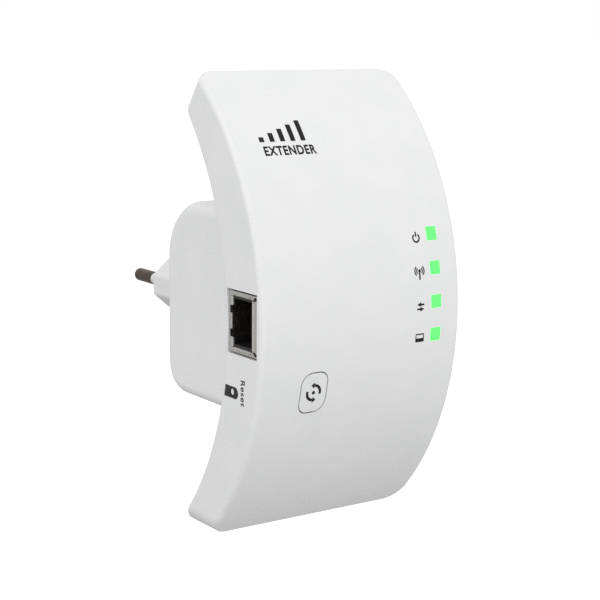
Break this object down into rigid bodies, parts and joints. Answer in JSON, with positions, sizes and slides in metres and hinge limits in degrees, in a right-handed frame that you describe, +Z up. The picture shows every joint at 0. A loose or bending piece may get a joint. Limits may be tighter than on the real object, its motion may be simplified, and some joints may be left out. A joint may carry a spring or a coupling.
{
  "type": "wifi range extender",
  "caption": "Plug-in wireless range extender: curved white shell, rear power block with two round plug pins, side network socket, reset slot, pairing button and green status windows.",
  "frame": {"origin": "centre of the plug's engagement face, midway between the two pins", "axes": "+Z up the body, +Y along the pins into the wall socket, the curved front faces -Y and the network socket faces -X"},
  "size_m": [0.0644, 0.106, 0.1239],
  "materials": {
    "white_abs": "satin moulded",
    "plug_plastic": "satin moulded",
    "pin_metal": "nickel-plated brass",
    "sleeve_plastic": "moulded",
    "contact_bronze": "rolled",
    "board_laminate": "solder mask",
    "socket_shield": "tinned",
    "black_nylon": "moulded",
    "contact_gold": "gold flash",
    "guide_clear": "moulded clear, lit green",
    "lamp_package": "lamp",
    "plunger_plastic": "moulded",
    "chip_epoxy": "moulded",
    "pad_silicone": "soft",
    "chip_ceramic": "fired",
    "core_ferrite": "fired",
    "winding_tape": "polyester tape",
    "can_sleeve": "shrunk",
    "resistor_coat": "dipped",
    "disc_epoxy": "dipped",
    "insulation_film": "film",
    "screw_steel": "zinc plated",
    "label_film": "printed film"
  },
  "bodies": {
    "housing": {"front_cover": "white_abs", "back_cover": "white_abs", "plug_base": "plug_plastic", "left_pin": "pin_metal", "right_pin": "pin_metal", "pin_sleeves": "sleeve_plastic", "pin_contacts": "contact_bronze", "main_board": "board_laminate", "power_board": "board_laminate", "jack_shell": "socket_shield", "radio_shield": "socket_shield", "left_antenna": "socket_shield", "right_antenna": "socket_shield", "header_pins": "socket_shield", "crystal": "socket_shield", "jack_insert": "black_nylon", "pairing_switch": "black_nylon", "reset_switch": "black_nylon", "header_block": "black_nylon", "transformer_base": "black_nylon", "jack_contacts": "contact_gold", "light_guide": "guide_clear", "status_lamps": "lamp_package", "radio_chip": "chip_epoxy", "network_transformer": "chip_epoxy", "flash_chip": "chip_epoxy", "memory_chip": "chip_epoxy", "rectifier": "chip_epoxy", "controller_chip": "chip_epoxy", "output_diode": "chip_epoxy", "thermal_pad": "pad_silicone", "board_capacitors": "chip_ceramic", "transformer_core": "core_ferrite", "filter_choke": "core_ferrite", "transformer_winding": "winding_tape", "bulk_capacitors": "can_sleeve", "output_capacitors": "can_sleeve", "fuse_resistor": "resistor_coat", "safety_capacitor": "disc_epoxy", "insulation_sheet": "insulation_film", "cover_screws": "screw_steel", "board_screws": "screw_steel", "rating_label": "label_film"},
    "button": {"pairing_button": "white_abs", "pairing_plunger": "plunger_plastic"},
    "reset": {"reset_plunger": "plunger_plastic"}
  },
  "joints": [
    {"name": "pairing_press", "type": "slide", "parent": "housing", "child": "button", "axis": [0, 1, 0], "range_m": [0, 0.0003], "stiffness_N_per_m": 2500, "springref_m": -0.0003},
    {"name": "reset_press", "type": "slide", "parent": "housing", "child": "reset", "axis": [1, 0, 0], "range_m": [0, 0.00025], "stiffness_N_per_m": 2500, "springref_m": -0.0003}
  ]
}
